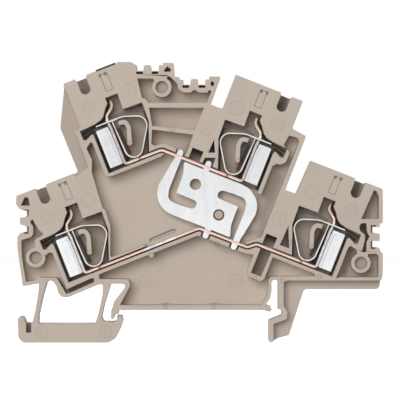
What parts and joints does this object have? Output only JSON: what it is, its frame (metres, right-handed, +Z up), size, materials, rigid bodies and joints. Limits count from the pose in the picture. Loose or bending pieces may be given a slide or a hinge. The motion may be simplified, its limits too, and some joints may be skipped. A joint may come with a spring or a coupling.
{
  "type": "double level terminal block",
  "caption": "Slim open-sided terminal block for a 35 mm rail, with spring clamps on an upper and a lower level and a metal link between its busbars.",
  "frame": {"origin": "middle of the rail seat, halfway through the block's thickness", "axes": "+X along the block to the right as seen from its open side, +Y from the open side to the closed side, +Z up away from the rail"},
  "size_m": [0.0798, 0.006, 0.0611],
  "materials": {
    "housing_plastic": "beige grey, fine matt moulded",
    "spring_steel": "bright rolled spring steel",
    "tinned_steel": "bright tin on folded sheet",
    "bare_copper": "copper strip, tinned on its faces and bare on its cut edges",
    "tinned_copper": "bright tin on a stamped plate",
    "black_plastic": "matt black strip"
  },
  "bodies": {
    "block": {"housing": "housing_plastic", "upper_busbar": "bare_copper", "lower_busbar": "bare_copper", "level_link": "tinned_copper", "edge_strip": "black_plastic", "sleeve_upper_left": "tinned_steel", "sleeve_upper_right": "tinned_steel", "sleeve_lower_left": "tinned_steel", "sleeve_lower_right": "tinned_steel"},
    "clamp_spring_upper_left": {"spring_upper_left": "spring_steel"},
    "clamp_spring_upper_right": {"spring_upper_right": "spring_steel"},
    "clamp_spring_lower_left": {"spring_lower_left": "spring_steel"},
    "clamp_spring_lower_right": {"spring_lower_right": "spring_steel"}
  },
  "joints": [
    {"name": "clamp_upper_left_open", "type": "slide", "parent": "block", "child": "clamp_spring_upper_left", "axis": [-0.9304, 0, -0.3665], "range_m": [0, 0.0022], "stiffness_N_per_m": 5000, "springref_m": -0.0008, "deforming": ["spring_upper_left"]},
    {"name": "clamp_upper_right_open", "type": "slide", "parent": "block", "child": "clamp_spring_upper_right", "axis": [0.9304, 0, -0.3665], "range_m": [0, 0.0022], "stiffness_N_per_m": 5000, "springref_m": -0.0008, "deforming": ["spring_upper_right"]},
    {"name": "clamp_lower_left_open", "type": "slide", "parent": "block", "child": "clamp_spring_lower_left", "axis": [-0.9304, 0, -0.3665], "range_m": [0, 0.0022], "stiffness_N_per_m": 5000, "springref_m": -0.0008, "deforming": ["spring_lower_left"]},
    {"name": "clamp_lower_right_open", "type": "slide", "parent": "block", "child": "clamp_spring_lower_right", "axis": [0.9304, 0, -0.3665], "range_m": [0, 0.0022], "stiffness_N_per_m": 5000, "springref_m": -0.0008, "deforming": ["spring_lower_right"]}
  ]
}
